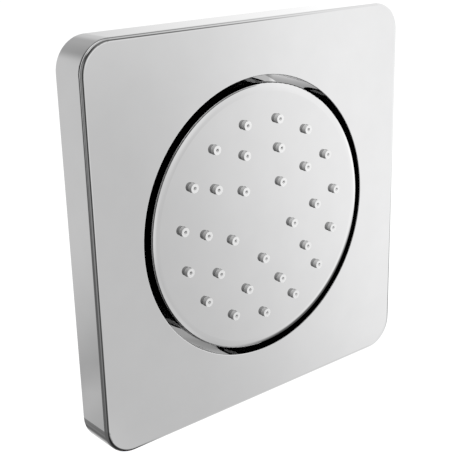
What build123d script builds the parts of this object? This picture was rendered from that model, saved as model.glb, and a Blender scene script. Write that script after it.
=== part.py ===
"""A square shower body jet for a wall, with a round spray disc that swivels on a ball.

Frame: X to the right, Z up, Y into the wall. The origin is the middle of the cover on the wall's face,
so the cover stands at negative Y and the water inlet runs into the wall at positive Y.
Sketches across the part lie on the XZ plane, whose offsets count forwards from the wall.
Turned pieces are drawn on the XY plane as radius and depth, and turned about Y.
"""
import os
from math import cos, radians, sin, sqrt, tan

from build123d import *

# Cover plate
plate_side = 127.0
plate_depth = 12.9
plate_corner = 10.0
plate_edge_radius = 1.3
cover_wall = 1.8
groove_width = 2.4
recess_edge_radius = 0.25
dish_wall = 1.6
dish_opening_margin = 1.0
rib_thickness = 1.5
rib_height = 5.0

# Foam gasket in the back of the cover's skirt
gasket_thickness = 2.0
gasket_width = 2.0
gasket_clearance = 0.1
ledge_thickness = 1.2

# Mounting bracket, pressed from sheet
sheet = 1.0
bracket_side_gap = 4.5
bracket_corner = 6.0
well_radius = 20.0
bend_radius = 0.6
wall_hole_inset = 9.0
wall_hole_radius = 2.4
hook_rise = 5.4
hook_width = 14.0
hook_pitch = 60.0
hook_clearance = 0.2
hook_inset = 0.6
lock_tab_width = 14.0
lock_tab_length = 9.5
lock_tab_fall = 4.2
lock_tab_gap = 0.3
dog_clearance = 0.2

# Set screw that locks the cover
set_screw_radius = 1.95
set_screw_forward = 6.0
thread_fit = 0.05
set_screw_recess = 0.4
set_screw_body = 7.0
set_screw_hex = 2.0
set_screw_socket = 2.5
dog_radius = 1.3
dog_length = 2.4
boss_wall = 1.6
boss_length = 5.0

# Spray disc
face_radius = 43.7
face_proud = 0.7
face_wall = 1.5
crown_radius = 8.0
crown_angle = 16.0
face_edge_radius = 0.6
rim_depth = 3.4
skirt_wall = 1.5
rim_chamfer = 0.5

# Silicone mat and its three rings of nozzles
outer_ring_inset = 2.5
middle_ring_inset = 9.1
inner_ring_inset = 9.95
outer_ring_count = 15
middle_ring_count = 10
inner_ring_count = 5
outer_ring_angle = -90.0
middle_ring_angle = 0.0
inner_ring_angle = -90.0
nozzle_proud = 1.4
nozzle_radius = 1.45
nozzle_bore_radius = 0.55
nozzle_clearance = 0.1
mat_seat = 1.4
mat_thickness = 1.0

# Water chamber and its screws
chamber_wall = 1.3
inlet_hole_radius = 6.0
land_clearance = 0.1
seal_outer_wall = 2.0
seal_inner_wall = 2.1
chamber_seal_width = 1.6
chamber_seal_thickness = 1.5
chamber_seal_clearance = 0.05
screw_ring_inset = 4.5
screw_count = 5
screw_first_angle = 90.0
screw_radius = 1.0
screw_pilot_clearance = 0.05
screw_hole_clearance = 0.35
screw_head_radius = 2.2
screw_head_height = 1.2
screw_head_clearance = 0.2
screw_clamp = 1.2
post_radius = 2.2
post_length = 1.9
screw_tip_gap = 1.1
chamber_boss_radius = 3.2

# Ball joint
pivot_depth = 2.0
ball_radius = 9.0
ball_lip_radius = 5.2
neck_radius = 5.5
bore_radius = 4.0
ball_fit = 0.05
seat_fit = 0.05
rear_seat_thickness = 1.55
rear_seat_back_angle = 50.0
rear_seat_front_angle = 82.0
front_seat_radius = 11.45
front_seat_gap = 1.2
ball_seal_ring = 7.0
ball_seal_section = 0.95
hub_wall = 2.2
hub_past_pivot = 1.0
collar_wall = 2.75
collar_lip_angle = 42.0
collar_relief = 1.5
collar_chamfer = 4.0
collar_front_gap = 0.5
grip_count = 12
grip_radius = 1.6
grip_depth = 0.8

# Inlet: flange, washers, locknut and thread
flange_front = 14.0
flange_thickness = 4.0
flange_flats = 30.0
hex_chamfer_angle = 30.0
hex_face_margin = 0.4
flange_washer_thickness = 1.5
flange_washer_radius = 17.0
shank_radius = 12.0
shank_clearance = 0.25
shank_past_nut = 0.7
lock_washer_thickness = 0.8
lock_washer_radius = 16.4
lock_tooth_count = 12
lock_tooth_depth = 1.8
locknut_thickness = 6.0
locknut_flats = 32.0
inlet_radius = 10.4775
inlet_length = 13.0
inlet_chamfer = 0.8

# Strainer and flow regulator in the inlet's bore
screen_radius = 7.9
screen_thickness = 1.0
screen_rim = 1.3
screen_depth = 2.4
screen_hole = 1.1
screen_pitch = 1.6
regulator_radius = 6.15
regulator_length = 6.5
regulator_wall = 0.9
regulator_floor = 1.5
regulator_pin_radius = 1.6
regulator_port_radius = 0.7
regulator_port_count = 6
regulator_ring_radius = 3.3
regulator_ring_section = 0.85
insert_fit = 0.05

# Places that follow from the sizes above, as distances in front of the wall
skirt_inside = plate_side / 2 - cover_wall
inner_corner = plate_corner - cover_wall
corner_reach = skirt_inside * sqrt(2) - inner_corner * (sqrt(2) - 1)
ledge_width = gasket_width + 2 * gasket_clearance
ledge_inside = skirt_inside - ledge_width
recess_radius = face_radius + groove_width
dish_opening_radius = well_radius + dish_opening_margin
floor_front = sheet + dish_wall
face_front = plate_depth + face_proud
face_back = face_front - face_wall
rim_back = plate_depth - rim_depth
mat_back = face_back - mat_thickness
nozzle_length = face_wall + nozzle_proud
land_radius = face_radius - skirt_wall - land_clearance
chamber_seal_inside = land_radius - seal_outer_wall - chamber_seal_width
mat_radius = chamber_seal_inside - seal_inner_wall
chamber_radius = mat_radius - mat_seat
outer_ring_radius = chamber_radius - outer_ring_inset
middle_ring_radius = outer_ring_radius - middle_ring_inset
inner_ring_radius = middle_ring_radius - inner_ring_inset
nozzle_rings = (
    (outer_ring_radius, outer_ring_count, outer_ring_angle),
    (middle_ring_radius, middle_ring_count, middle_ring_angle),
    (inner_ring_radius, inner_ring_count, inner_ring_angle),
)
screw_ring_radius = outer_ring_radius - screw_ring_inset
bracket_width = 2 * (ledge_inside - bracket_side_gap)
wall_hole_pitch = bracket_width - 2 * wall_hole_inset
hook_top = ledge_inside - hook_inset
bracket_top = hook_top - hook_rise
lock_tab_low = plate_side / 2 - set_screw_recess - set_screw_body - lock_tab_gap
bracket_bottom = lock_tab_low - lock_tab_fall
hook_front = gasket_thickness + ledge_thickness + hook_clearance + sheet
seal_reach = sqrt((ball_radius + ball_seal_section + ball_fit) ** 2 - ball_seal_ring**2)
ledge_depth = pivot_depth - seal_reach - ball_seal_section - ball_fit
hub_bore = front_seat_radius + seat_fit
hub_radius = hub_bore + hub_wall
hub_end = pivot_depth + hub_past_pivot
cone_slope = (rim_back + ledge_depth + chamber_wall / 2) / (land_radius - hub_bore)
socket_radius = ball_radius + ball_fit + rear_seat_thickness + ball_fit
collar_bore = hub_radius + thread_fit
collar_radius = collar_bore + collar_wall
washer_front = flange_front + flange_thickness
well_floor = washer_front + flange_washer_thickness
lock_washer_front = well_floor + sheet
locknut_front = lock_washer_front + lock_washer_thickness
locknut_back = locknut_front + locknut_thickness
shank_end = locknut_back + shank_past_nut
inlet_end = shank_end + inlet_length
bend_middle = bend_radius + sheet / 2


def cone_back(radius):
    """Depth of the chamber's conical back at a radius, clear of the cover when the head tilts."""
    return -(rim_back - cone_slope * (land_radius - radius))


def on_sphere(radius, angle):
    """Point of a sphere about the pivot, its angle counted from the axis that runs into the wall."""
    return (radius * sin(radians(angle)), pivot_depth + radius * cos(radians(angle)))


def sphere_width(radius, depth):
    """Radius across a sphere about the pivot at a depth."""
    return sqrt(radius**2 - (depth - pivot_depth) ** 2)


def screw_places():
    """The five places of the face screws."""
    return PolarLocations(screw_ring_radius, screw_count, screw_first_angle)


def hexagon_outline(flats, front, back):
    """Half section that turns off the corners of a hexagon between two depths."""
    face = flats / 2 - hex_face_margin
    reach = flats / sqrt(3)
    fall = (reach - face) * tan(radians(hex_chamfer_angle))
    return (
        (0, front),
        (face, front),
        (reach, front + fall),
        (reach, back - fall),
        (face, back),
        (0, back),
    )


def nozzle_circles(radius):
    """A circle of that radius in the open sketch at each of the thirty nozzles."""
    for ring_radius, ring_count, ring_angle in nozzle_rings:
        with PolarLocations(ring_radius, ring_count, ring_angle):
            Circle(radius)


# Cover plate: a skirted square shell with a round dish in its middle
with BuildPart() as cover_plate:
    with BuildSketch(Plane.XZ):
        RectangleRounded(plate_side, plate_side, plate_corner)
    extrude(amount=plate_depth)
    fillet(cover_plate.faces().sort_by(Axis.Y)[0].edges(), plate_edge_radius)
    with BuildSketch(Plane.XZ):
        RectangleRounded(2 * skirt_inside, 2 * skirt_inside, inner_corner)
    extrude(amount=plate_depth - cover_wall, mode=Mode.SUBTRACT)
    with BuildSketch(Plane.XZ.offset(plate_depth - cover_wall)):
        for turn in (45, 135):
            Rectangle(2 * corner_reach, rib_thickness, rotation=turn)
    extrude(amount=-rib_height)
    with BuildSketch(Plane.XZ.offset(sheet)):
        Circle(recess_radius + dish_wall)
    extrude(amount=plate_depth - cover_wall - sheet)
    with BuildSketch(Plane.XZ.offset(floor_front)):
        Circle(recess_radius)
    extrude(amount=plate_depth - floor_front, mode=Mode.SUBTRACT)
    with BuildSketch(Plane.XZ.offset(sheet)):
        Circle(dish_opening_radius)
    extrude(amount=dish_wall, mode=Mode.SUBTRACT)
    front_circles = cover_plate.edges().filter_by(GeomType.CIRCLE).group_by(Axis.Y)[0]
    fillet(front_circles.sort_by(SortBy.RADIUS)[-1], recess_edge_radius)
    with BuildSketch(Plane.XZ.offset(gasket_thickness)):
        RectangleRounded(2 * skirt_inside, 2 * skirt_inside, inner_corner)
        RectangleRounded(2 * ledge_inside, 2 * ledge_inside, inner_corner - ledge_width, mode=Mode.SUBTRACT)
    extrude(amount=ledge_thickness)
    with BuildSketch(Plane.XY.offset(-skirt_inside - cover_wall / 2)):
        with Locations((0, -set_screw_forward)):
            Circle(set_screw_radius + thread_fit + boss_wall)
    extrude(amount=boss_length + cover_wall / 2)
    with BuildSketch(Plane.XY.offset(-plate_side / 2)):
        with Locations((0, -set_screw_forward)):
            Circle(set_screw_radius + thread_fit)
    extrude(amount=cover_wall + boss_length, mode=Mode.SUBTRACT)

# Foam gasket: a square ring behind the cover's ledge
with BuildPart() as wall_gasket:
    gasket_outside = skirt_inside - gasket_clearance
    gasket_corner = inner_corner - gasket_clearance
    with BuildSketch(Plane.XZ):
        RectangleRounded(2 * gasket_outside, 2 * gasket_outside, gasket_corner)
        offset(amount=-gasket_width, kind=Kind.INTERSECTION, mode=Mode.SUBTRACT)
    extrude(amount=gasket_thickness)

# Mounting bracket: flat sheet, a drawn well for the ball joint, two hooks on top and a lock tab below
with BuildPart() as mounting_bracket:
    well_mouth = well_radius + sheet + bend_radius
    with BuildSketch(Plane.XZ):
        with Locations((0, (bracket_top - bracket_bottom) / 2)):
            RectangleRounded(bracket_width, bracket_top + bracket_bottom, bracket_corner)
        Circle(well_mouth, mode=Mode.SUBTRACT)
        with GridLocations(wall_hole_pitch, wall_hole_pitch, 2, 2):
            Circle(wall_hole_radius, mode=Mode.SUBTRACT)
    extrude(amount=sheet)
    with BuildSketch(Plane.XY):
        with BuildLine():
            FilletPolyline(
                (well_mouth + bend_radius, -sheet / 2),
                (well_radius + sheet / 2, -sheet / 2),
                (well_radius + sheet / 2, well_floor + sheet / 2),
                (shank_radius + shank_clearance, well_floor + sheet / 2),
                radius=bend_middle,
            )
        trace(line_width=sheet)
    revolve(axis=Axis.Y)
    for side in (-1, 1):
        with BuildSketch(Plane.YZ.offset(side * hook_pitch / 2)):
            with BuildLine():
                FilletPolyline(
                    (-sheet / 2, bracket_top - sheet),
                    (-sheet / 2, hook_top - sheet / 2),
                    (sheet / 2 - hook_front, hook_top - sheet / 2),
                    (sheet / 2 - hook_front, hook_top + ledge_width - hook_clearance),
                    radius=bend_middle,
                )
            trace(line_width=sheet)
        extrude(amount=hook_width / 2, both=True)
    with BuildSketch(Plane.YZ):
        with BuildLine():
            FilletPolyline(
                (-sheet / 2, sheet - bracket_bottom),
                (-sheet / 2, sheet / 2 - lock_tab_low),
                (-lock_tab_length, sheet / 2 - lock_tab_low),
                radius=bend_middle,
            )
        trace(line_width=sheet)
    extrude(amount=lock_tab_width / 2, both=True)
    with BuildSketch(Plane.XY.offset(-lock_tab_low)):
        with Locations((0, -set_screw_forward)):
            Circle(dog_radius + dog_clearance)
    extrude(amount=sheet, mode=Mode.SUBTRACT)

# Set screw with a hexagon socket and a dog point
with BuildPart() as cover_set_screw:
    set_screw_start = -plate_side / 2 + set_screw_recess
    with BuildSketch(Plane.XY.offset(set_screw_start)):
        with Locations((0, -set_screw_forward)):
            Circle(set_screw_radius)
    extrude(amount=set_screw_body)
    with BuildSketch(Plane.XY.offset(set_screw_start + set_screw_body)):
        with Locations((0, -set_screw_forward)):
            Circle(dog_radius)
    extrude(amount=dog_length)
    with BuildSketch(Plane.XY.offset(set_screw_start)):
        with Locations((0, -set_screw_forward)):
            RegularPolygon(set_screw_hex / 2, 6, major_radius=False)
    extrude(amount=set_screw_socket, mode=Mode.SUBTRACT)

# Inlet stem: ball, neck, hexagon flange and threaded inlet in one turned piece
with BuildPart() as inlet_stem:
    ball_front = pivot_depth - sqrt(ball_radius**2 - ball_lip_radius**2)
    ball_back = pivot_depth + sqrt(ball_radius**2 - neck_radius**2)
    regulator_seat = inlet_end - screen_depth - regulator_length
    with BuildSketch(Plane.XZ.offset(-washer_front)):
        RegularPolygon(flange_flats / 2, 6, major_radius=False)
        Circle(neck_radius, mode=Mode.SUBTRACT)
    extrude(amount=flange_thickness)
    with BuildSketch(Plane.XY):
        with BuildLine():
            Polyline(*hexagon_outline(flange_flats, flange_front, washer_front), close=True)
        make_face()
    revolve(axis=Axis.Y, mode=Mode.INTERSECT)
    with BuildSketch(Plane.XY):
        with BuildLine():
            ThreePointArc(
                (ball_lip_radius, ball_front),
                (ball_radius, pivot_depth),
                (neck_radius, ball_back),
            )
            Polyline(
                (neck_radius, ball_back),
                (neck_radius, flange_front),
                (shank_radius, flange_front),
                (shank_radius, shank_end),
                (inlet_radius, shank_end),
                (inlet_radius, inlet_end - inlet_chamfer),
                (inlet_radius - inlet_chamfer, inlet_end),
                (screen_radius + insert_fit, inlet_end),
                (screen_radius + insert_fit, inlet_end - screen_depth),
                (regulator_radius + insert_fit, inlet_end - screen_depth),
                (regulator_radius + insert_fit, regulator_seat),
                (bore_radius, regulator_seat),
                (bore_radius, ball_front),
                (ball_lip_radius, ball_front),
            )
        make_face()
    revolve(axis=Axis.Y)

# Rubber washer between the flange and the bracket's well
with BuildPart() as flange_washer:
    with BuildSketch(Plane.XZ.offset(-well_floor)):
        Circle(flange_washer_radius)
        Circle(shank_radius + shank_clearance, mode=Mode.SUBTRACT)
    extrude(amount=flange_washer_thickness)

# Toothed washer under the locknut
with BuildPart() as lock_washer:
    with BuildSketch(Plane.XZ.offset(-locknut_front)):
        Circle(lock_washer_radius)
        Circle(shank_radius + shank_clearance, mode=Mode.SUBTRACT)
        with PolarLocations(lock_washer_radius, lock_tooth_count):
            RegularPolygon(lock_tooth_depth, 3, rotation=180, mode=Mode.SUBTRACT)
    extrude(amount=lock_washer_thickness)

# Hexagon locknut
with BuildPart() as locknut:
    with BuildSketch(Plane.XZ.offset(-locknut_back)):
        RegularPolygon(locknut_flats / 2, 6, major_radius=False)
        Circle(shank_radius + thread_fit, mode=Mode.SUBTRACT)
    extrude(amount=locknut_thickness)
    with BuildSketch(Plane.XY):
        with BuildLine():
            Polyline(*hexagon_outline(locknut_flats, locknut_front, locknut_back), close=True)
        make_face()
    revolve(axis=Axis.Y, mode=Mode.INTERSECT)

# Strainer: a rimmed disc with a field of square holes
with BuildPart() as inlet_screen:
    screen_back = inlet_end - screen_depth + screen_thickness
    screen_field = screen_radius - screen_rim
    holes_across = 2 * int(screen_field / screen_pitch) + 1
    with BuildSketch(Plane.XZ.offset(-screen_back)):
        Circle(screen_radius)
    extrude(amount=screen_thickness)
    with BuildSketch(Plane.XZ.offset(-screen_back)):
        with GridLocations(screen_pitch, screen_pitch, holes_across, holes_across):
            Rectangle(screen_hole, screen_hole)
        Circle(screen_field, mode=Mode.INTERSECT)
    extrude(amount=screen_thickness, mode=Mode.SUBTRACT)

# Flow regulator: a cup with ports in its floor and a pin that carries the rubber ring
with BuildPart() as flow_regulator:
    with BuildSketch(Plane.XZ.offset(-inlet_end + screen_depth)):
        Circle(regulator_radius)
    extrude(amount=regulator_length)
    with BuildSketch(Plane.XZ.offset(-inlet_end + screen_depth)):
        Circle(regulator_radius - regulator_wall)
        Circle(regulator_pin_radius, mode=Mode.SUBTRACT)
    extrude(amount=regulator_length - regulator_floor, mode=Mode.SUBTRACT)
    with BuildSketch(Plane.XZ.offset(-inlet_end + screen_depth)):
        with PolarLocations((bore_radius + regulator_pin_radius) / 2, regulator_port_count):
            Circle(regulator_port_radius)
    extrude(amount=regulator_length, mode=Mode.SUBTRACT)

# Rubber ring of the flow regulator
with BuildPart() as regulator_ring:
    regulator_ring_place = regulator_seat + regulator_floor + regulator_ring_section
    with BuildSketch(Plane.XY):
        with Locations((regulator_ring_radius, regulator_ring_place)):
            Circle(regulator_ring_section)
    revolve(axis=Axis.Y)

# Rear ball seat: a zone of a hollow sphere, so that it can turn on the ball and in the collar
with BuildPart() as rear_ball_seat:
    seat_inside = ball_radius + ball_fit
    seat_outside = seat_inside + rear_seat_thickness
    seat_middle = (rear_seat_back_angle + rear_seat_front_angle) / 2
    with BuildSketch(Plane.XY):
        with BuildLine():
            inner = ThreePointArc(
                on_sphere(seat_inside, rear_seat_back_angle),
                on_sphere(seat_inside, seat_middle),
                on_sphere(seat_inside, rear_seat_front_angle),
            )
            outer = ThreePointArc(
                on_sphere(seat_outside, rear_seat_back_angle),
                on_sphere(seat_outside, seat_middle),
                on_sphere(seat_outside, rear_seat_front_angle),
            )
            Line(inner @ 0, outer @ 0)
            Line(inner @ 1, outer @ 1)
        make_face()
    revolve(axis=Axis.Y)

# Front ball seat: a plastic ring in the hub with a round seat for the ball and a pocket for its seal
with BuildPart() as front_ball_seat:
    seat_back = pivot_depth - front_seat_gap
    seal_pocket = pivot_depth - seal_reach + ball_seal_section + ball_fit
    pocket_radius = ball_seal_ring + ball_seal_section + ball_fit
    seat_front = ledge_depth + seat_fit
    seat_middle_depth = (seat_back + seal_pocket) / 2
    seat_back_radius = sphere_width(seat_inside, seat_back)
    seat_pocket_radius = sphere_width(seat_inside, seal_pocket)
    with BuildSketch(Plane.XY):
        with BuildLine():
            ThreePointArc(
                (seat_back_radius, seat_back),
                (sphere_width(seat_inside, seat_middle_depth), seat_middle_depth),
                (seat_pocket_radius, seal_pocket),
            )
            Polyline(
                (seat_pocket_radius, seal_pocket),
                (pocket_radius, seal_pocket),
                (pocket_radius, seat_front),
                (front_seat_radius, seat_front),
                (front_seat_radius, seat_back),
                (seat_back_radius, seat_back),
            )
        make_face()
    revolve(axis=Axis.Y)

# O-ring on the ball
with BuildPart() as ball_seal:
    with BuildSketch(Plane.XY):
        with Locations((ball_seal_ring, pivot_depth - seal_reach)):
            Circle(ball_seal_section)
    revolve(axis=Axis.Y)

# Collar nut: ribbed sleeve with a round socket for the rear seat and a relieved mouth for the neck
with BuildPart() as collar_nut:
    collar_front = cone_back(collar_radius) + collar_front_gap
    collar_step = hub_end + thread_fit
    step_radius = sphere_width(socket_radius, collar_step)
    lip = on_sphere(socket_radius, collar_lip_angle)
    socket_depth = (collar_step + lip[1]) / 2
    socket_middle = (sphere_width(socket_radius, socket_depth), socket_depth)
    collar_back = lip[1] + collar_relief
    with BuildSketch(Plane.XY):
        with BuildLine():
            ThreePointArc((step_radius, collar_step), socket_middle, lip)
            Polyline(
                lip,
                (lip[0] + collar_relief, collar_back),
                (collar_radius - collar_chamfer, collar_back),
                (collar_radius, collar_back - collar_chamfer),
                (collar_radius, collar_front),
                (collar_bore, collar_front),
                (collar_bore, collar_step),
                (step_radius, collar_step),
            )
        make_face()
    revolve(axis=Axis.Y)
    with BuildSketch(Plane.XZ.offset(-collar_back)):
        with PolarLocations(collar_radius - grip_depth + grip_radius, grip_count):
            Circle(grip_radius)
    extrude(amount=collar_back - collar_front, mode=Mode.SUBTRACT)

# Chamber back: conical back wall, hub with the inlet hole, and bosses for the screws
with BuildPart() as chamber_back:
    center_front = ledge_depth - chamber_wall
    wall_across = chamber_wall * sqrt(1 + cone_slope**2)
    flat_radius = land_radius - (rim_back + center_front + wall_across) / cone_slope
    with BuildSketch(Plane.XY):
        with BuildLine():
            Polyline(
                (inlet_hole_radius, center_front),
                (flat_radius, center_front),
                (chamber_radius, cone_back(chamber_radius) - wall_across),
                (chamber_radius, -mat_back),
                (mat_radius + land_clearance, -mat_back),
                (mat_radius + land_clearance, -face_back),
                (land_radius, -face_back),
                (land_radius, -rim_back),
                (hub_radius, cone_back(hub_radius)),
                (hub_radius, hub_end),
                (hub_bore, hub_end),
                (hub_bore, ledge_depth),
                (inlet_hole_radius, ledge_depth),
                close=True,
            )
        make_face()
    revolve(axis=Axis.Y)
    with BuildSketch(Plane.XZ.offset(face_back)):
        Circle(chamber_seal_inside + chamber_seal_width + chamber_seal_clearance)
        Circle(chamber_seal_inside - chamber_seal_clearance, mode=Mode.SUBTRACT)
    extrude(amount=-chamber_seal_thickness, mode=Mode.SUBTRACT)
    post_back = face_back - post_length
    head_seat = post_back - screw_clamp
    boss_start = -cone_back(screw_ring_radius + chamber_boss_radius)
    with BuildSketch(Plane.XZ.offset(boss_start)):
        with screw_places():
            Circle(chamber_boss_radius)
    extrude(amount=post_back - boss_start)
    with BuildSketch(Plane.XZ.offset(head_seat)):
        with screw_places():
            Circle(screw_head_radius + screw_head_clearance)
    extrude(amount=-rim_back, mode=Mode.SUBTRACT)
    with BuildSketch(Plane.XZ.offset(head_seat)):
        with screw_places():
            Circle(screw_radius + screw_hole_clearance)
    extrude(amount=screw_clamp, mode=Mode.SUBTRACT)

# Square-section rubber ring between chamber back and spray disc
with BuildPart() as chamber_seal:
    with BuildSketch(Plane.XZ.offset(face_back)):
        Circle(chamber_seal_inside + chamber_seal_width)
        Circle(chamber_seal_inside, mode=Mode.SUBTRACT)
    extrude(amount=-chamber_seal_thickness)

# Face screws: five pan-head screws from behind
with BuildPart() as face_screws:
    with BuildSketch(Plane.XZ.offset(head_seat - screw_head_height)):
        with screw_places():
            Circle(screw_head_radius)
    extrude(amount=screw_head_height)
    with BuildSketch(Plane.XZ.offset(head_seat)):
        with screw_places():
            Circle(screw_radius)
    extrude(amount=face_front - screw_tip_gap - head_seat)

# Nozzle mat: a silicone disc with thirty nozzles, each with a fine bore
with BuildPart() as nozzle_mat:
    with BuildSketch(Plane.XZ.offset(mat_back)):
        Circle(mat_radius)
        with screw_places():
            Circle(post_radius + nozzle_clearance, mode=Mode.SUBTRACT)
    extrude(amount=mat_thickness)
    with BuildSketch(Plane.XZ.offset(face_back)):
        nozzle_circles(nozzle_radius)
    extrude(amount=nozzle_length)
    with BuildSketch(Plane.XZ.offset(mat_back)):
        nozzle_circles(nozzle_bore_radius)
    extrude(amount=mat_thickness + nozzle_length, mode=Mode.SUBTRACT)

# Spray disc: a shallow cup with a crowned edge, thirty nozzle holes and five screw posts
with BuildPart() as spray_face:
    edge_turn = radians(crown_angle)
    crown_start = face_radius - crown_radius * sin(edge_turn) - face_edge_radius * (1 - sin(edge_turn))
    with BuildSketch(Plane.XY):
        with BuildLine():
            top = Line((0, -face_front), (crown_start, -face_front))
            crown = JernArc(top @ 1, (1, 0), crown_radius, crown_angle)
            edge = JernArc(crown @ 1, crown % 1, face_edge_radius, 90 - crown_angle)
            Polyline(
                edge @ 1,
                (face_radius, -rim_back - rim_chamfer),
                (face_radius - rim_chamfer, -rim_back),
                (face_radius - skirt_wall, -rim_back),
                (face_radius - skirt_wall, -face_back),
                (0, -face_back),
                (0, -face_front),
            )
        make_face()
    revolve(axis=Axis.Y)
    with BuildSketch(Plane.XZ.offset(post_back)):
        with screw_places():
            Circle(post_radius)
    extrude(amount=post_length)
    with BuildSketch(Plane.XZ.offset(post_back)):
        with screw_places():
            Circle(screw_radius + screw_pilot_clearance)
    extrude(amount=face_front - screw_tip_gap + screw_pilot_clearance - post_back, mode=Mode.SUBTRACT)
    with BuildSketch(Plane.XZ.offset(face_back)):
        nozzle_circles(nozzle_radius + nozzle_clearance)
    extrude(amount=face_wall, mode=Mode.SUBTRACT)

pieces = {
    "cover_plate": cover_plate,
    "wall_gasket": wall_gasket,
    "mounting_bracket": mounting_bracket,
    "cover_set_screw": cover_set_screw,
    "inlet_stem": inlet_stem,
    "flange_washer": flange_washer,
    "lock_washer": lock_washer,
    "locknut": locknut,
    "inlet_screen": inlet_screen,
    "flow_regulator": flow_regulator,
    "regulator_ring": regulator_ring,
    "rear_ball_seat": rear_ball_seat,
    "front_ball_seat": front_ball_seat,
    "ball_seal": ball_seal,
    "collar_nut": collar_nut,
    "chamber_back": chamber_back,
    "chamber_seal": chamber_seal,
    "face_screws": face_screws,
    "nozzle_mat": nozzle_mat,
    "spray_face": spray_face,
}
os.makedirs("parts", exist_ok=True)
for name, piece in pieces.items():
    piece.part.label = name
    export_step(piece.part, f"parts/{name}.step")
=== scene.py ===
"""Finishes, fine pieces and studio for a square shower body jet with a swivelling spray disc.

Lengths are in metres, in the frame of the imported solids: X to the right, Z up, Y into the wall.
Run as a script: it dresses the solids, adds the pieces that are finer than they are, and sets the stage.
"""

import math

import bpy
import numpy as np
from bpy.props import FloatProperty, FloatVectorProperty, IntProperty, PointerProperty
from bpy.types import Operator, Panel, PropertyGroup
from mathutils import Matrix


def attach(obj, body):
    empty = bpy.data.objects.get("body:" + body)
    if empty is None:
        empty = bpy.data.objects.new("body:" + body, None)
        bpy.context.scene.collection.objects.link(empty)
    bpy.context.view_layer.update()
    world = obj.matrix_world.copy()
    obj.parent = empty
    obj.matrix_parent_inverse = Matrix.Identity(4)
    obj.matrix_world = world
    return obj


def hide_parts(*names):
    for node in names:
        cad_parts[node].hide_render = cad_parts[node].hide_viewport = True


bl_info = {
    "name": "Shower Body Jet",
    "version": (1, 0, 0),
    "blender": (4, 5, 0),
    "location": "3D View > Sidebar > Body Jet",
    "description": "Dresses a shower body jet and sets a studio around it",
    "category": "Object",
}

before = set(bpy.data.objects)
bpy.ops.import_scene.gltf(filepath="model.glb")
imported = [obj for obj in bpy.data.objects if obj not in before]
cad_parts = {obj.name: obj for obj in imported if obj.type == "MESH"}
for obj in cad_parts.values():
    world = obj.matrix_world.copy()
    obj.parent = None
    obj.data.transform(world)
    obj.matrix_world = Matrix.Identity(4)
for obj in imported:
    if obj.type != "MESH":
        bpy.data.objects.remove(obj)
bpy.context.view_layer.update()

MM = 0.001
TURN = 2 * math.pi

# Sizes shared with the solids
PLATE_HALF = 63.5 * MM
PLATE_CORNER = 10.0 * MM
RECESS_RADIUS = 46.2 * MM
PIVOT_DEPTH = 2.0 * MM
BALL_RADIUS = 9.0 * MM
BALL_LIP = 5.2 * MM
NECK_RADIUS = 5.5 * MM
FLANGE_FRONT = 14.0 * MM
FLANGE_BACK = 18.0 * MM
FLANGE_FLATS = 30.0 * MM
FLANGE_FACE = 14.6 * MM
FLANGE_CONE = math.radians(60)
SHANK_RADIUS = 12.0 * MM
SHANK_END = 28.0 * MM
SHANK_LEAD = 0.3 * MM
SHANK_CHAMFER = 0.4 * MM
INLET_RADIUS = 10.4775 * MM
INLET_END = 41.0 * MM
INLET_CHAMFER = 0.8 * MM
SCREEN_RADIUS = 7.95 * MM
SCREEN_SEAT = 38.6 * MM
REGULATOR_RADIUS = 6.2 * MM
REGULATOR_SEAT = 32.1 * MM
BORE_RADIUS = 4.0 * MM

# Painted shade in the recess, a darker chrome colour blended in deep inside it: softness of its edge, depths
# that it fades in over, and heights and sides that it fades out over towards the upper right
RECESS_EDGE = 0.2 * MM
SHADE_DEPTHS = (-10.5 * MM, -6.5 * MM)
SPARED_HEIGHTS = (10 * MM, 40 * MM)
SPARED_SIDES = (13 * MM, 15 * MM)
HAZE_GRAIN = 9 * MM

# Grain of the other finishes, with broad spots measured in grains
METAL_GRAIN_DEPTH = 0.004 * MM
MARK_DEPTH = 0.006 * MM
MARK_STRENGTH = 0.6
BROAD_SPOTS = 14
FOAM_CELL = 0.45 * MM
FOAM_DEPTH = 0.15 * MM
SILICONE_GRAIN = 0.5 * MM
SILICONE_ROUGHNESS = (0.40, 0.50)
SILICONE_SHEEN = 0.06

# Steps along the stem's section, and the angle from which its edges are sharp
BALL_ROWS = 36
FLANGE_ROWS = 41
SHANK_ROWS = 121
INLET_ROWS = 171
SHARP_ANGLE = math.radians(33)


# Nodes of a finish

def new_finish(name):
    """A new finish: its material, its nodes, its shader and the Object coordinates they read."""
    material = bpy.data.materials.new(name)
    material.use_nodes = True
    tree = material.node_tree
    place = tree.nodes.new("ShaderNodeTexCoord")
    return material, tree, tree.nodes["Principled BSDF"], place.outputs["Object"]


def speckle(tree, where, grain, detail=3.0):
    """Even noise with spots about one grain wide."""
    noise = tree.nodes.new("ShaderNodeTexNoise")
    noise.inputs["Scale"].default_value = 1 / grain
    noise.inputs["Detail"].default_value = detail
    tree.links.new(where, noise.inputs["Vector"])
    return noise.outputs["Fac"]


def cells(tree, where, grain):
    """Distance to the nearest of many scattered points, one grain apart."""
    scatter = tree.nodes.new("ShaderNodeTexVoronoi")
    scatter.inputs["Scale"].default_value = 1 / grain
    tree.links.new(where, scatter.inputs["Vector"])
    return scatter.outputs["Distance"]


def stretched(tree, where, along):
    """Coordinates drawn out along an axis, so that a pattern on them becomes streaks."""
    mapping = tree.nodes.new("ShaderNodeMapping")
    mapping.inputs["Scale"].default_value = along
    tree.links.new(where, mapping.inputs["Vector"])
    return mapping.outputs["Vector"]


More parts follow.
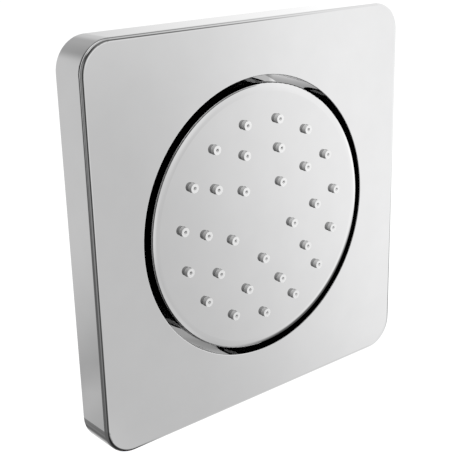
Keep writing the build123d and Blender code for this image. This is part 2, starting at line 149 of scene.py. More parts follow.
def lathe_marks(tree, where, pitch, kind):
    """Fine turning marks, bands along Y or rings about it: a sine of 20 * scale * place."""
    wave = tree.nodes.new("ShaderNodeTexWave")
    wave.wave_type = kind
    wave.bands_direction = "Y"
    wave.rings_direction = "Y"
    wave.inputs["Scale"].default_value = TURN / (20 * pitch)
    wave.inputs["Distortion"].default_value = 1.5
    wave.inputs["Detail Scale"].default_value = 0.4
    tree.links.new(where, wave.inputs["Vector"])
    return wave.outputs["Fac"]


def level(tree, amount, low, high, start=0.3, end=0.7):
    """A pattern's range start to end, laid on the range low to high."""
    spread = tree.nodes.new("ShaderNodeMapRange")
    spread.inputs["From Min"].default_value = start
    spread.inputs["From Max"].default_value = end
    spread.inputs["To Min"].default_value = low
    spread.inputs["To Max"].default_value = high
    tree.links.new(amount, spread.inputs["Value"])
    return spread.outputs["Result"]


def tint(tree, amount, dark, light, start=0.3, end=0.7):
    """A pattern as a blend of two colours."""
    ramp = tree.nodes.new("ShaderNodeValToRGB")
    first, last = ramp.color_ramp.elements
    first.position, first.color = start, (*dark, 1)
    last.position, last.color = end, (*light, 1)
    tree.links.new(amount, ramp.inputs["Fac"])
    return ramp.outputs["Color"]


def relief(tree, amount, depth, strength=1.0, under=None):
    """Bumps of that depth, on top of other bumps where given."""
    bump = tree.nodes.new("ShaderNodeBump")
    bump.inputs["Distance"].default_value = depth
    bump.inputs["Strength"].default_value = strength
    tree.links.new(amount, bump.inputs["Height"])
    if under is not None:
        tree.links.new(under, bump.inputs["Normal"])
    return bump.outputs["Normal"]


def place_by_axis(tree, where):
    """Distance from the Y axis, and the three coordinates."""
    flat = stretched(tree, where, (1, 0, 1))
    length = tree.nodes.new("ShaderNodeVectorMath")
    length.operation = "LENGTH"
    tree.links.new(flat, length.inputs[0])
    split = tree.nodes.new("ShaderNodeSeparateXYZ")
    tree.links.new(where, split.inputs["Vector"])
    return length.outputs["Value"], split.outputs["X"], split.outputs["Y"], split.outputs["Z"]


def combined(tree, operation, first, second):
    """Two amounts put together by an operation such as MULTIPLY or MAXIMUM."""
    join = tree.nodes.new("ShaderNodeMath")
    join.operation = operation
    tree.links.new(first, join.inputs[0])
    tree.links.new(second, join.inputs[1])
    return join.outputs["Value"]


def blended(tree, amount, first, second, kind):
    """A blend of two numbers (FLOAT) or two colours (RGBA) by an amount from 0 to 1."""
    mix = tree.nodes.new("ShaderNodeMix")
    mix.data_type = kind
    fits = {"FLOAT": "VALUE", "RGBA": "RGBA"}[kind]
    sockets = [socket for socket in mix.inputs if socket.enabled and socket.type == fits][-2:]
    tree.links.new(amount, mix.inputs["Factor"])
    tree.links.new(first, sockets[0])
    tree.links.new(second, sockets[1])
    return next(socket for socket in mix.outputs if socket.enabled)


def shade_of(colour, share):
    """A colour made darker or lighter by a share."""
    return tuple(min(1.0, channel * share) for channel in colour)


def mottled(tree, amount, colour, dark, light, start=0.3, end=0.7):
    """A pattern as a blend of a darker and a lighter shade of one colour."""
    return tint(tree, amount, shade_of(colour, dark), shade_of(colour, light), start, end)


def dress(material, *nodes):
    """Gives solids of the frame a finish in place of their plain one."""
    for node in nodes:
        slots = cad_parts[node].data.materials
        slots.clear()
        slots.append(material)


def metal_finish(name, colour, roughness, grain, streak=(1, 1, 1), marks=None):
    """Bare metal: slight changes of tone and gloss along streaks, and turning marks where given a pitch."""
    material, tree, shader, where = new_finish(name)
    shader.inputs["Metallic"].default_value = 1.0
    drawn = stretched(tree, where, streak)
    fine = speckle(tree, drawn, grain)
    tree.links.new(mottled(tree, fine, colour, 0.95, 1.03), shader.inputs["Base Color"])
    tree.links.new(level(tree, fine, 0.75 * roughness, 1.3 * roughness), shader.inputs["Roughness"])
    normal = relief(tree, fine, METAL_GRAIN_DEPTH)
    if marks is not None:
        for kind in ("BANDS", "RINGS"):
            normal = relief(tree, lathe_marks(tree, where, marks, kind), MARK_DEPTH, MARK_STRENGTH, normal)
    tree.links.new(normal, shader.inputs["Normal"])
    return material


def moulded_finish(name, colour, roughness, grain, depth):
    """Moulded plastic or rubber: an even fine grain in tone, gloss and surface."""
    material, tree, shader, where = new_finish(name)
    fine = speckle(tree, where, grain)
    broad = speckle(tree, where, BROAD_SPOTS * grain, 2.0)
    tree.links.new(mottled(tree, broad, colour, 0.92, 1.06), shader.inputs["Base Color"])
    tree.links.new(level(tree, fine, 0.85 * roughness, 1.15 * roughness), shader.inputs["Roughness"])
    tree.links.new(relief(tree, fine, depth), shader.inputs["Normal"])
    return material


def foam_finish(name, colour):
    """Closed-cell foam: small pits with darker bottoms."""
    material, tree, shader, where = new_finish(name)
    pits = cells(tree, where, FOAM_CELL)
    tree.links.new(mottled(tree, pits, colour, 1.6, 0.6, 0.1, 0.6), shader.inputs["Base Color"])
    shader.inputs["Roughness"].default_value = 0.9
    tree.links.new(relief(tree, pits, FOAM_DEPTH, 0.8), shader.inputs["Normal"])
    return material


# Surfaces

def grid_mesh(name, points, round_rows=False, round_columns=False):
    """A mesh from a grid of points, joined up round its rows or round its columns where asked."""
    rows, columns = points.shape[:2]
    strips = rows if round_rows else rows - 1
    sectors = columns if round_columns else columns - 1
    row, column = np.meshgrid(np.arange(strips), np.arange(sectors), indexing="ij")
    next_row, next_column = (row + 1) % rows, (column + 1) % columns
    corners = (row, column), (next_row, column), (next_row, next_column), (row, next_column)
    faces = np.stack([r * columns + c for r, c in corners], axis=-1).reshape(-1, 4)
    mesh = bpy.data.meshes.new(name)
    mesh.from_pydata(points.reshape(-1, 3).tolist(), [], faces.tolist())
    mesh.update()
    return mesh


def show(name, mesh):
    """An object for a mesh, at the origin."""
    shown = bpy.data.objects.new(name, mesh)
    bpy.context.scene.collection.objects.link(shown)
    return shown


# Values that a user may change

class ChromeSettings(PropertyGroup):
    colour: FloatVectorProperty(
        name="Chrome colour", description="Colour that the plating reflects", subtype="COLOR",
        size=3, min=0, max=1, default=(0.55, 0.55, 0.552))
    roughness: FloatProperty(
        name="Chrome roughness", description="How hazy the plating's reflections are",
        min=0, max=1, default=0.012)
    # Recess colour: painted shade, a darker chrome colour laid deep in the recess where the groove falls into
    # shade
    recess_shade: FloatVectorProperty(
        name="Recess colour", description="Colour of the thin plating deep in the recess", subtype="COLOR",
        size=3, min=0, max=1, default=(0.34, 0.34, 0.34))
    recess_roughness: FloatProperty(
        name="Recess roughness", description="How hazy the plating is deep in the recess",
        min=0, max=1, default=0.03)


class NozzleSettings(PropertyGroup):
    colour: FloatVectorProperty(
        name="Silicone colour", description="Colour of the soft nozzles", subtype="COLOR",
        size=3, min=0, max=1, default=(0.86, 0.86, 0.86))


class StemSettings(PropertyGroup):
    brass: FloatVectorProperty(
        name="Brass colour", description="Colour of the stem and its nut", subtype="COLOR",
        size=3, min=0, max=1, default=(0.80, 0.62, 0.32))
    inlet_pitch: FloatProperty(
        name="Inlet pitch", description="Advance of the pipe thread in one turn",
        unit="LENGTH", default=1.814 * MM)
    inlet_depth: FloatProperty(
        name="Inlet thread depth", description="Depth of the pipe thread",
        unit="LENGTH", default=1.162 * MM)
    shank_pitch: FloatProperty(
        name="Shank pitch", description="Advance of the nut's thread in one turn",
        unit="LENGTH", default=1.0 * MM)
    shank_depth: FloatProperty(
        name="Shank thread depth", description="Depth of the nut's thread",
        unit="LENGTH", default=0.61 * MM)
    columns: IntProperty(
        name="Columns", description="Steps round the stem, six to a side of its hexagon or more",
        min=36, default=96)


class FixingSettings(PropertyGroup):
    sheet: FloatVectorProperty(
        name="Bracket colour", description="Colour of the bracket's rolled sheet", subtype="COLOR",
        size=3, min=0, max=1, default=(0.46, 0.465, 0.475))
    steel: FloatVectorProperty(
        name="Steel colour", description="Colour of screws, washer and strainer", subtype="COLOR",
        size=3, min=0, max=1, default=(0.72, 0.72, 0.73))
    foam: FloatVectorProperty(
        name="Foam colour", description="Colour of the gasket on the wall", subtype="COLOR",
        size=3, min=0, max=1, default=(0.025, 0.025, 0.026))
    rubber: FloatVectorProperty(
        name="Rubber colour", description="Colour of the seals", subtype="COLOR",
        size=3, min=0, max=1, default=(0.02, 0.02, 0.021))


class JointSettings(PropertyGroup):
    seat: FloatVectorProperty(
        name="Seat colour", description="Colour of the plastic that holds the ball", subtype="COLOR",
        size=3, min=0, max=1, default=(0.78, 0.77, 0.73))
    chamber: FloatVectorProperty(
        name="Chamber colour", description="Colour of the water chamber and its collar", subtype="COLOR",
        size=3, min=0, max=1, default=(0.035, 0.036, 0.038))
    regulator: FloatVectorProperty(
        name="Regulator colour", description="Colour of the flow regulator", subtype="COLOR",
        size=3, min=0, max=1, default=(0.15, 0.45, 0.30))


class StageSettings(PropertyGroup):
    floor_colour: FloatVectorProperty(
        name="Floor colour", description="Colour of the studio floor", subtype="COLOR",
        size=3, min=0, max=1, default=(0.8, 0.8, 0.8))
    floor_drop: FloatProperty(
        name="Floor drop", description="How far below the middle of the plate the floor lies",
        unit="LENGTH", default=0.65)
    tent_radius: FloatProperty(
        name="Tent radius", description="Radius of the round light tent that the chrome reflects",
        unit="LENGTH", default=0.6)
    tent_level: FloatProperty(
        name="Tent level", description="Brightness of the light tent", min=0, default=1.18)
    key_power: FloatProperty(
        name="Key light", description="Power of the soft light in front", unit="POWER", default=8.3)
    accent_power: FloatProperty(
        name="Accent light", description="Power of the spot on the disc's right side",
        unit="POWER", default=6.0)
    ambient: FloatProperty(
        name="Ambient", description="Strength of the even light from all sides", min=0, default=0.2)
    lens: FloatProperty(name="Lens", description="Camera's focal length in millimetres", default=78.2)
    camera_turn: FloatProperty(
        name="Camera turn", description="How far the camera stands round to the side",
        subtype="ANGLE", default=math.radians(-39.33))
    camera_rise: FloatProperty(
        name="Camera rise", description="How far the camera looks down",
        subtype="ANGLE", default=math.radians(18.588))
    camera_roll: FloatProperty(
        name="Camera roll", description="How far the camera leans",
        subtype="ANGLE", default=math.radians(-1.582))
    camera_distance: FloatProperty(
        name="Camera distance", description="Distance from the camera to its target",
        unit="LENGTH", default=0.32492)
    camera_target: FloatVectorProperty(
        name="Camera target", description="Point that the camera looks at", subtype="XYZ", unit="LENGTH",
        size=3, default=(-0.004238, 0.000145, -0.004799))


class BodyJetSettings(PropertyGroup):
    chrome: PointerProperty(type=ChromeSettings)
    nozzles: PointerProperty(type=NozzleSettings)
    stem: PointerProperty(type=StemSettings)
    fixing: PointerProperty(type=FixingSettings)
    joint: PointerProperty(type=JointSettings)
    stage: PointerProperty(type=StageSettings)


# Operators

class BODYJET_OT_chrome(Operator):
    """Plates the cover and the spray disc"""
    bl_idname = "body_jet.chrome"
    bl_label = "Plate the Cover and Disc"

    def execute(self, context):
        settings = context.scene.body_jet.chrome
        material, tree, shader, where = new_finish("polished_chrome")
        shader.inputs["Metallic"].default_value = 1.0
        radius, side, depth, height = place_by_axis(tree, where)
        # Painted shade: deep in the recess the chrome's colour is blended towards the darker recess colour,
        # except towards the upper right, and its roughness changes over the same region
        inside = level(tree, radius, 1, 0, RECESS_RADIUS, RECESS_RADIUS + RECESS_EDGE)
        deep = combined(tree, "MULTIPLY", inside, level(tree, depth, 0, 1, *SHADE_DEPTHS))
        spared = combined(tree, "MULTIPLY", level(tree, height, 0, 1, *SPARED_HEIGHTS),
                          level(tree, side, 0, 1, *SPARED_SIDES))
        shaded = combined(tree, "MULTIPLY", deep, level(tree, spared, 1, 0, 0, 1))
        haze = speckle(tree, where, HAZE_GRAIN, 4.0)
        shades = tuple(settings.colour), tuple(settings.recess_shade)
        colours = [mottled(tree, haze, shade, 0.985, 1.01) for shade in shades]
        hazes = settings.roughness, settings.recess_roughness
        glosses = [level(tree, haze, 0.6 * amount, 1.4 * amount) for amount in hazes]
        tree.links.new(blended(tree, shaded, *colours, "RGBA"), shader.inputs["Base Color"])
        tree.links.new(blended(tree, shaded, *glosses, "FLOAT"), shader.inputs["Roughness"])
        dress(material, "cover_plate", "spray_face")
        return {"FINISHED"}


class BODYJET_OT_nozzles(Operator):
    """Finishes the soft nozzles in silicone"""
    bl_idname = "body_jet.nozzles"
    bl_label = "Make the Nozzles"

    def execute(self, context):
        settings = context.scene.body_jet.nozzles
        material, tree, shader, where = new_finish("nozzle_silicone")
        fine = speckle(tree, where, SILICONE_GRAIN)
        tree.links.new(mottled(tree, fine, tuple(settings.colour), 0.98, 1.02), shader.inputs["Base Color"])
        tree.links.new(level(tree, fine, *SILICONE_ROUGHNESS), shader.inputs["Roughness"])
        shader.inputs["Specular IOR Level"].default_value = SILICONE_SHEEN
        dress(material, "nozzle_mat")
        return {"FINISHED"}


def thread_cut(depth, turn, start, end, pitch, cut):
    """Depth of a right-hand thread: cut * (1 - cos(2 pi y / pitch + turn)) / 2, fading over its end turns."""
    wave = 0.5 - 0.5 * np.cos(TURN * (depth / pitch + turn / TURN))
    fade = np.clip((depth - start) / pitch, 0, 1) * np.clip((end - depth) / pitch, 0, 1)
    return cut * wave * fade


def hexagon_reach(depth, turn):
    """Radius of the flange: a hexagon, flats / 2 / cos(angle from a flat's middle), turned off by cones."""
    flat = FLANGE_FLATS / 2 / np.cos(np.mod(turn, TURN / 6) - TURN / 12)
    cone = FLANGE_FACE + math.tan(FLANGE_CONE) * np.minimum(depth - FLANGE_FRONT, FLANGE_BACK - depth)
    return np.minimum(flat, cone)


def stem_surface(settings):
    """The stem as a radius over turn and over a closed section: ball, neck, flange, threads and bores."""
    lip, neck = math.asin(BALL_LIP / BALL_RADIUS), math.pi - math.asin(NECK_RADIUS / BALL_RADIUS)
    sweep = np.linspace(lip, neck, BALL_ROWS)
    flange = np.linspace(FLANGE_FRONT, FLANGE_BACK, FLANGE_ROWS)
    shank = np.linspace(FLANGE_BACK, SHANK_END - SHANK_LEAD, SHANK_ROWS)
    inlet = np.linspace(SHANK_END, INLET_END - INLET_CHAMFER, INLET_ROWS)
    bores = np.array([
        (SCREEN_RADIUS, INLET_END), (SCREEN_RADIUS, SCREEN_SEAT), (REGULATOR_RADIUS, SCREEN_SEAT),
        (REGULATOR_RADIUS, REGULATOR_SEAT), (BORE_RADIUS, REGULATOR_SEAT),
        (BORE_RADIUS, PIVOT_DEPTH - BALL_RADIUS * math.cos(lip)),
    ])
    turn = np.linspace(0, TURN, settings.columns, endpoint=False)[None, :]
    one = np.ones_like(turn)
    blocks = (
        (BALL_RADIUS * np.sin(sweep)[:, None] * one, PIVOT_DEPTH - BALL_RADIUS * np.cos(sweep)),
        (NECK_RADIUS * one, np.array([FLANGE_FRONT])),
        (hexagon_reach(flange[:, None], turn), flange),
        (SHANK_RADIUS - thread_cut(shank[:, None], turn, FLANGE_BACK, SHANK_END, settings.shank_pitch,
                                   settings.shank_depth), shank),
        ((SHANK_RADIUS - SHANK_CHAMFER) * one, np.array([SHANK_END])),
        (INLET_RADIUS - thread_cut(inlet[:, None], turn, SHANK_END, INLET_END, settings.inlet_pitch,
                                   settings.inlet_depth), inlet),
        ((INLET_RADIUS - INLET_CHAMFER) * one, np.array([INLET_END])),
        (bores[:, :1] * one, bores[:, 1]),
    )
    radius = np.concatenate([reach for reach, depth in blocks])
    depth = np.concatenate([depth for reach, depth in blocks])[:, None] * one
    return np.stack([radius * np.cos(turn), depth, radius * np.sin(turn)], axis=-1)


class BODYJET_OT_stem(Operator):
    """Turns the brass stem with its threads, and finishes its nut"""
    bl_idname = "body_jet.stem"
    bl_label = "Turn the Stem"

    def execute(self, context):
        settings = context.scene.body_jet.stem
        brass = metal_finish(
            "turned_brass", tuple(settings.brass), roughness=0.24, grain=0.5 * MM, marks=0.22 * MM)
        mesh = grid_mesh("threaded_stem", stem_surface(settings), True, True)
        mesh.shade_smooth()
        mesh.set_sharp_from_angle(angle=SHARP_ANGLE)
        mesh.materials.append(brass)
        stem = show("threaded_stem", mesh)
        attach(stem, "wall_body")
        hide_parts("inlet_stem")
        dress(brass, "inlet_stem", "locknut")
        return {"FINISHED"}


class BODYJET_OT_fixing(Operator):
    """Finishes the bracket, washers, screws, gasket, seals and strainer"""
    bl_idname = "body_jet.fixing"
    bl_label = "Finish the Wall Fixing"

    def execute(self, context):
        settings = context.scene.body_jet.fixing
        sheet = metal_finish(
            "bracket_steel", tuple(settings.sheet), roughness=0.34, grain=0.6 * MM, streak=(0.12, 1, 1))
        steel = metal_finish(
            "stainless_steel", tuple(settings.steel), roughness=0.25, grain=0.3 * MM, streak=(1, 1, 0.3))
        rubber = moulded_finish(
            "black_rubber", tuple(settings.rubber), roughness=0.6, grain=0.15 * MM, depth=0.006 * MM)
        dress(sheet, "mounting_bracket")
        dress(steel, "cover_set_screw", "lock_washer", "inlet_screen", "face_screws")
        dress(rubber, "flange_washer", "regulator_ring", "ball_seal", "chamber_seal")
        dress(foam_finish("black_foam", tuple(settings.foam)), "wall_gasket")
        return {"FINISHED"}


class BODYJET_OT_joint(Operator):
    """Finishes the plastic pieces of the ball joint, the water chamber and the regulator"""
    bl_idname = "body_jet.joint"
    bl_label = "Finish the Ball Joint"

    def execute(self, context):
        settings = context.scene.body_jet.joint
        seat = moulded_finish(
            "seat_acetal", tuple(settings.seat), roughness=0.38, grain=0.2 * MM, depth=0.003 * MM)
        chamber = moulded_finish(
            "chamber_plastic", tuple(settings.chamber), roughness=0.42, grain=0.25 * MM, depth=0.008 * MM)
        regulator = moulded_finish(
            "regulator_plastic", tuple(settings.regulator), roughness=0.35, grain=0.2 * MM, depth=0.003 * MM)
        dress(seat, "rear_ball_seat", "front_ball_seat")
        dress(chamber, "collar_nut", "chamber_back")
        dress(regulator, "flow_regulator")
        return {"FINISHED"}


# Round soft lights on the tent: azimuth, elevation, level, radius and softness of the edge.
# Angles on the tent and of the lamps are in degrees
TENT_LIGHTS = (
    (5, 4, 0.50, 58, 12),
    (0, 20, 0.62, 96, 20),
    (110, -1, 0.62, 32, 10),
    (128, -32, 0.24, 3.2, 1.5),
    (115, -41, 0.07, 3, 2),
    (85, -45, 0.19, 7, 6),
    (-75, 14, 0.33, 16, 14),
    (-95, -20, 0.37, 14, 10),
    (-92, -13, 0.17, 10, 6),
    (-82, -42, 0.28, 12, 6),
    (-18, -9, 0.19, 9, 6),
    (30, 12, 0.23, 16, 10),
    (-140, 54, 0.60, 8, 6),
)
# Round dark flags in the same way, each with the share of light that it takes away
TENT_FLAGS = (
    (15, -50, 0.88, 38, 6),
    (-52, 32, 0.6, 10, 5),
    (-105, 38, 0.7, 12, 6),
    (97, 40, 0.33, 22, 8),
    (55, 14, 0.3, 18, 8),
    (13, -1, 0.4, 16, 6),
    (-110, -65, 0.8, 25, 8),
)
# Dark belts round the front: angle from the front, half width, share of light that they take away,
# and the middle and reach of their sector from the left upwards
BELTS = (
    (38, 23, 0.70, 30, 102),
    (103, 18, 0.64, 58, 73),
    (57, 20, 0.16, 111, 33),
)
# Lit hoops in the same way, each with its level
HOOPS = (
    (91.6, 4.6, 1.2, 46.5, 54.7),
    (55.5, 14, 0.26, 1, 36),
    (95, 5.3, 0.29, 66, 16),
)
BAND_EDGE = 2.5
SECTOR_EDGE = 14
TENT_GREY = 0.17
TENT_ROWS = 144
TENT_COLUMNS = 288

FLOOR_SIDE = 40.0
FLOOR_GRAIN = 0.02
FLOOR_GLOW = 0.9

# Lit card: its gap to the plate, its left end and the softness of its ends, then depth and cover of each row,
# and its level at the left and the right
CARD_GAP = 3.0 * MM
CARD_START = -51.0 * MM
CARD_FADE = 9.0 * MM
CARD_DEPTHS = (-17.2 * MM, -16.0 * MM, -9.0 * MM, -8.0 * MM)
CARD_COVER = (0, 1, 1, 0)
CARD_LEVELS = (0.85, 1.3)
CARD_RUN_STEPS = 40
CARD_BEND_STEPS = 13

# Lamps: azimuth and elevation from the target, distance and size
KEY_PLACE = (-86, 24)
KEY_DISTANCE = 1.2
KEY_SIZE = 0.6
ACCENT_PLACE = (-130, 37)
ACCENT_DISTANCE = 0.6
ACCENT_SIZE = 0.04
ACCENT_SPREAD = math.radians(18)
ACCENT_TARGET = (0.045, -0.013, 0)

CAMERA_NEAR = 0.01


def pointing(azimuth, elevation):
    """Unit vector at an azimuth from X and an elevation, both in degrees."""
    turn, rise = math.radians(azimuth), math.radians(elevation)
    return np.array([math.cos(rise) * math.cos(turn), math.cos(rise) * math.sin(turn), math.sin(rise)])


def soft_disc(angle, radius, edge):
    """1 inside a radius and 0 outside, and 1 - s * s * (3 - 2 * s) across the edge, with s from 0 to 1."""
    step = np.clip((angle - radius + edge) / (2 * edge), 0, 1)
    return 1 - step * step * (3 - 2 * step)


def angle_from(directions, azimuth, elevation):
    """Angle between directions and one at an azimuth and an elevation, in degrees."""
    return np.degrees(np.arccos(np.clip(directions @ pointing(azimuth, elevation), -1, 1)))


def round_band(directions, place, width, middle, reach):
    """1 in a band at an angle from the front, over a sector from the left upwards, and 0 elsewhere."""
    turn = np.degrees(np.arctan2(directions[..., 2], -directions[..., 0]))
    across = soft_disc(np.abs(angle_from(directions, -90, 0) - place), width, BAND_EDGE)
    return across * soft_disc(np.abs(turn - middle), reach, SECTOR_EDGE)


def tent_glow(directions):
    """Level of the tent by direction: grey and soft lights, less belts, plus hoops, less what flags take."""
    glow = np.full(directions.shape[:-1], TENT_GREY)
    for azimuth, elevation, strength, radius, edge in TENT_LIGHTS:
        glow += strength * soft_disc(angle_from(directions, azimuth, elevation), radius, edge)
    for place, width, share, middle, reach in BELTS:
        glow *= 1 - share * round_band(directions, place, width, middle, reach)
    for place, width, strength, middle, reach in HOOPS:
        glow += strength * round_band(directions, place, width, middle, reach)
    for azimuth, elevation, share, radius, edge in TENT_FLAGS:
        glow *= 1 - share * soft_disc(angle_from(directions, azimuth, elevation), radius, edge)
    return glow


class BODYJET_OT_stage(Operator):
    """Sets the floor, the light tent, the card, the lamps and the camera"""
    bl_idname = "body_jet.stage"
    bl_label = "Set the Stage"

    def execute(self, context):
        settings = context.scene.body_jet.stage
        context.scene.view_settings.view_transform = "Standard"
        self.light_world(context, settings)
        self.lay_floor(settings)
        self.hang_tent(settings)
        self.stand_card()
        key = self.soft_lamp("key", settings.key_power)
        self.place_lamp(key, KEY_DISTANCE, pointing(*KEY_PLACE), (0, 0, 0))
        accent = self.spot_lamp("accent", settings.accent_power)
        self.place_lamp(accent, ACCENT_DISTANCE, pointing(*ACCENT_PLACE), ACCENT_TARGET)
        self.place_camera(context, settings)
        return {"FINISHED"}

    def seen_directly(self, tree):
        """1 for what the camera sees, directly or in metal or glass, and 0 for light on other surfaces."""
        path = tree.nodes.new("ShaderNodeLightPath")
        total = path.outputs["Is Camera Ray"]
        for ray in ("Is Glossy Ray", "Is Transmission Ray"):
            total = combined(tree, "MAXIMUM", total, path.outputs[ray])
        return total

    def light_world(self, context, settings):
        """A white background that gives a low even light."""
        world = bpy.data.worlds.new("studio")
        context.scene.world = world
        world.cycles.sampling_method = "NONE"
        world.use_nodes = True
        tree = world.node_tree
        background = tree.nodes["Background"]
        background.inputs["Color"].default_value = (1, 1, 1, 1)
        strength = level(tree, self.seen_directly(tree), settings.ambient, 1.0, 0, 1)
        tree.links.new(strength, background.inputs["Strength"])

    def lay_floor(self, settings):
        """A square of white paper, far enough below to keep its shadow soft."""
        half = FLOOR_SIDE / 2
        corners = np.array([(-half, -half), (half, -half), (half, half), (-half, half)])
        points = np.column_stack([corners, np.full(4, -settings.floor_drop)])
        mesh = bpy.data.meshes.new("floor")
        mesh.from_pydata(points.tolist(), [], [(0, 1, 2, 3)])
        material, tree, shader, where = new_finish("floor_paper")
        material.cycles.emission_sampling = "NONE"
        shader.inputs["Roughness"].default_value = 0.9
        shader.inputs["Specular IOR Level"].default_value = 0.0
        colour = tuple(settings.floor_colour)
        paper = mottled(tree, speckle(tree, where, FLOOR_GRAIN), colour, 0.99, 1.01)
        tree.links.new(paper, shader.inputs["Base Color"])
        shader.inputs["Emission Color"].default_value = (1, 1, 1, 1)
        glow = level(tree, self.seen_directly(tree), 0, FLOOR_GLOW, 0, 1)
        tree.links.new(glow, shader.inputs["Emission Strength"])
        mesh.materials.append(material)
        show("floor", mesh)

    def hang_tent(self, settings):
        """Sphere by azimuth and elevation about the origin, seen by reflections only."""
        azimuth = np.linspace(0, TURN, TENT_COLUMNS, endpoint=False)
        elevation = np.linspace(-math.pi / 2, math.pi / 2, TENT_ROWS + 1)
        rise, turn = np.meshgrid(elevation, azimuth, indexing="ij")
        reach = np.cos(rise)
        directions = np.stack([reach * np.cos(turn), reach * np.sin(turn), np.sin(rise)], axis=-1)
        mesh = grid_mesh("light_tent", settings.tent_radius * directions, round_columns=True)
        self.hang_lit(mesh, settings.tent_level * tent_glow(directions), np.ones(rise.shape))

    def stand_card(self):
        """Narrow card along the plate's lower edge and round its right corner: its path carried from front to
        back, lighter to the right and fading out at its edges."""
        bend = np.linspace(-math.pi / 2, 0, CARD_BEND_STEPS)
        centre, reach = PLATE_HALF - PLATE_CORNER, PLATE_CORNER + CARD_GAP
        run = np.linspace(CARD_START, centre, CARD_RUN_STEPS, endpoint=False)
        across = np.concatenate([run, centre + reach * np.cos(bend)])
        up = np.concatenate([np.full(len(run), -centre - reach), -centre + reach * np.sin(bend)])
        depth = np.array(CARD_DEPTHS)[:, None] * np.ones_like(across)
        along = np.clip((across - CARD_START) / CARD_FADE, 0, 1) * np.clip(-(up + centre) / CARD_FADE, 0, 1)
        cover = np.array(CARD_COVER)[:, None] * along
        glow = np.interp(across, (CARD_START, PLATE_HALF), CARD_LEVELS) * np.ones_like(depth)
        points = np.stack([across * np.ones_like(depth), depth, up * np.ones_like(depth)], axis=-1)
        self.hang_lit(grid_mesh("card", points), glow, cover)

    def hang_lit(self, mesh, glow, cover):
        """Shows a lit cloth, seen by reflections only, with its level and cover at each point of its mesh."""
        material = bpy.data.materials.new(mesh.name + "_cloth")
        material.cycles.emission_sampling = "NONE"
        material.use_nodes = True
        tree = material.node_tree
        tree.nodes.remove(tree.nodes["Principled BSDF"])
        read = {}
        for name, values in (("glow", glow), ("cover", cover)):
            layer = mesh.attributes.new(name, "FLOAT", "POINT")
            layer.data.foreach_set("value", values.ravel().astype(np.float32))
            node = tree.nodes.new("ShaderNodeAttribute")
            node.attribute_name = name
            read[name] = node.outputs["Fac"]
        emission = tree.nodes.new("ShaderNodeEmission")
        clear = tree.nodes.new("ShaderNodeBsdfTransparent")
        cloth = tree.nodes.new("ShaderNodeMixShader")
        path = tree.nodes.new("ShaderNodeLightPath")
        mirrored = level(tree, path.outputs["Diffuse Depth"], 1, 0, 0, 1)
        tree.links.new(combined(tree, "MULTIPLY", read["glow"], mirrored), emission.inputs["Strength"])
        tree.links.new(read["cover"], cloth.inputs["Fac"])
        tree.links.new(clear.outputs["BSDF"], cloth.inputs[1])
        tree.links.new(emission.outputs["Emission"], cloth.inputs[2])
        tree.links.new(cloth.outputs["Shader"], tree.nodes["Material Output"].inputs["Surface"])
        mesh.materials.append(material)
        shown = show(mesh.name, mesh)
        shown.visible_camera = False
        shown.visible_diffuse = False
        shown.visible_shadow = False
        shown.visible_transmission = False

    def soft_lamp(self, name, power):
        """A wide round lamp."""
        lamp = bpy.data.lights.new(name, "AREA")
        lamp.shape = "DISK"
        lamp.size = KEY_SIZE
        lamp.energy = power
        return lamp

    def spot_lamp(self, name, power):
        """A narrow lamp that fades towards the edge of its cone."""
        lamp = bpy.data.lights.new(name, "SPOT")
        lamp.spot_size = ACCENT_SPREAD
        lamp.spot_blend = 1.0
        lamp.shadow_soft_size = ACCENT_SIZE
        lamp.energy = power
        return lamp

    def place_lamp(self, lamp, distance, direction, target):
        """Stands a lamp off its target in a direction, facing it, unseen by the camera and the metal."""
        shown = bpy.data.objects.new(lamp.name, lamp)
        bpy.context.scene.collection.objects.link(shown)
        side = np.cross((0, 0, 1), direction)
        side /= np.linalg.norm(side)
        above = np.cross(direction, side)
        turn = Matrix(np.column_stack([side, above, direction]).tolist()).to_4x4()
        shown.matrix_world = Matrix.Translation((np.array(target) + distance * direction).tolist()) @ turn
        shown.visible_glossy = False
        shown.visible_camera = False

    def place_camera(self, context, settings):
        """Stands the camera off its target by turn, rise and distance, and leans it by its roll."""
        turn, rise, roll = settings.camera_turn, settings.camera_rise, settings.camera_roll
        back = np.array([math.sin(turn) * math.cos(rise), -math.cos(turn) * math.cos(rise), math.sin(rise)])
        right = np.cross((0, 0, 1), back)
        right /= np.linalg.norm(right)
        up = np.cross(back, right)
        across = math.cos(roll) * right + math.sin(roll) * up
        upward = math.cos(roll) * up - math.sin(roll) * right
        stand = np.array(settings.camera_target) + settings.camera_distance * back
        data = bpy.data.cameras.new("camera")
        data.lens = settings.lens
        data.clip_start = CAMERA_NEAR
        camera = bpy.data.objects.new("camera", data)
        context.scene.collection.objects.link(camera)
        aim = Matrix(np.column_stack([across, upward, back]).tolist()).to_4x4()
        camera.matrix_world = Matrix.Translation(stand.tolist()) @ aim
        context.scene.camera = camera


class BODYJET_PT_panel(Panel):
    """Lists the steps and the values that may be changed"""
    bl_idname = "BODYJET_PT_panel"
    bl_label = "Shower Body Jet"
    bl_space_type = "VIEW_3D"
    bl_region_type = "UI"
    bl_category = "Body Jet"

    def draw(self, context):
        settings = context.scene.body_jet
        for operator, group in STEPS:
            box = self.layout.box()
            box.operator(operator.bl_idname)
            values = getattr(settings, group)
            for name in values.__annotations__:
                box.prop(values, name)


STEPS = (
    (BODYJET_OT_chrome, "chrome"),
    (BODYJET_OT_nozzles, "nozzles"),
    (BODYJET_OT_stem, "stem"),
    (BODYJET_OT_fixing, "fixing"),
    (BODYJET_OT_joint, "joint"),
    (BODYJET_OT_stage, "stage"),
)
CLASSES = (
    ChromeSettings, NozzleSettings, StemSettings, FixingSettings, JointSettings, StageSettings,
    BodyJetSettings, *(operator for operator, group in STEPS), BODYJET_PT_panel,
)


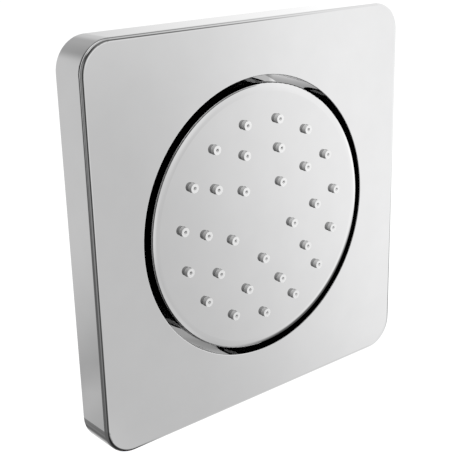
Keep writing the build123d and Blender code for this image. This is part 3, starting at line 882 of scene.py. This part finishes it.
def register():
    for cls in CLASSES:
        bpy.utils.register_class(cls)
    bpy.types.Scene.body_jet = PointerProperty(type=BodyJetSettings)


def unregister():
    del bpy.types.Scene.body_jet
    for cls in reversed(CLASSES):
        bpy.utils.unregister_class(cls)


def main():
    register()
    bpy.ops.body_jet.chrome()
    bpy.ops.body_jet.nozzles()
    bpy.ops.body_jet.stem()
    bpy.ops.body_jet.fixing()
    bpy.ops.body_jet.joint()
    bpy.ops.body_jet.stage()


if __name__ == "__main__":
    main()
